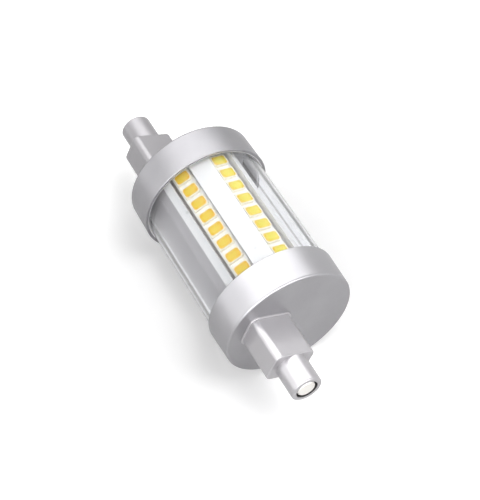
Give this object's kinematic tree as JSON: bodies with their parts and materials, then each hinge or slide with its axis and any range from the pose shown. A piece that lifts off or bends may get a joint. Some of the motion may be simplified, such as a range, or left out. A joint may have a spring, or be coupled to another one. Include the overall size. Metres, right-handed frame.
{
  "type": "linear led bulb",
  "caption": "Double-ended linear LED lamp: clear tube with silver-grey end caps, offset contact sleeves and rows of LEDs on a white carrier inside.",
  "frame": {"origin": "on the clear tube's axis, at mid-length", "axes": "+X along the tube towards the front end, +Z out of the carrier's middle face between the LED boards; the contacts lie off the axis towards -Y and +Z"},
  "size_m": [0.078, 0.0296, 0.0296],
  "materials": {
    "tube_clear": "clear and polished",
    "cap_grey": "satin silver-grey",
    "base_grey": "satin silver-grey",
    "contact_metal": "nickel plated",
    "carrier_white": "matte white",
    "board_white": "white solder mask on aluminium",
    "led_housing": "cream moulding",
    "phosphor": "yellow phosphor in clear silicone",
    "driver_laminate": "green laminate",
    "can_metal": "satin can",
    "winding": "black ferrite block",
    "varistor_coat": "blue epoxy coat",
    "resistor_coat": "grey-green coat",
    "chip_black": "black moulding compound",
    "wire_skin": "white insulation"
  },
  "bodies": {
    "root": {"clear_tube": "tube_clear", "front_end_cap": "cap_grey", "rear_end_cap": "cap_grey", "front_contact_base": "base_grey", "rear_contact_base": "base_grey", "front_contact": "contact_metal", "rear_contact": "contact_metal", "carrier": "carrier_white", "led_board_left": "board_white", "led_board_right": "board_white", "led_left_1": "led_housing", "led_left_2": "led_housing", "led_left_3": "led_housing", "led_left_4": "led_housing", "led_left_5": "led_housing", "led_left_6": "led_housing", "led_left_7": "led_housing", "led_left_8": "led_housing", "led_left_9": "led_housing", "led_right_1": "led_housing", "led_right_2": "led_housing", "led_right_3": "led_housing", "led_right_4": "led_housing", "led_right_5": "led_housing", "led_right_6": "led_housing", "led_right_7": "led_housing", "led_right_8": "led_housing", "led_right_9": "led_housing", "phosphor_left_1": "phosphor", "phosphor_left_2": "phosphor", "phosphor_left_3": "phosphor", "phosphor_left_4": "phosphor", "phosphor_left_5": "phosphor", "phosphor_left_6": "phosphor", "phosphor_left_7": "phosphor", "phosphor_left_8": "phosphor", "phosphor_left_9": "phosphor", "phosphor_right_1": "phosphor", "phosphor_right_2": "phosphor", "phosphor_right_3": "phosphor", "phosphor_right_4": "phosphor", "phosphor_right_5": "phosphor", "phosphor_right_6": "phosphor", "phosphor_right_7": "phosphor", "phosphor_right_8": "phosphor", "phosphor_right_9": "phosphor", "driver_board": "driver_laminate", "capacitor": "can_metal", "inductor": "winding", "varistor": "varistor_coat", "fusible_resistor": "resistor_coat", "bridge_rectifier": "chip_black", "driver_chip": "chip_black", "sense_resistor": "chip_black", "front_lead_wire": "wire_skin", "rear_lead_wire": "wire_skin", "led_supply_wire_left": "wire_skin", "led_supply_wire_right": "wire_skin", "led_return_wire_left": "wire_skin", "led_return_wire_right": "wire_skin"}
  },
  "joints": []
}
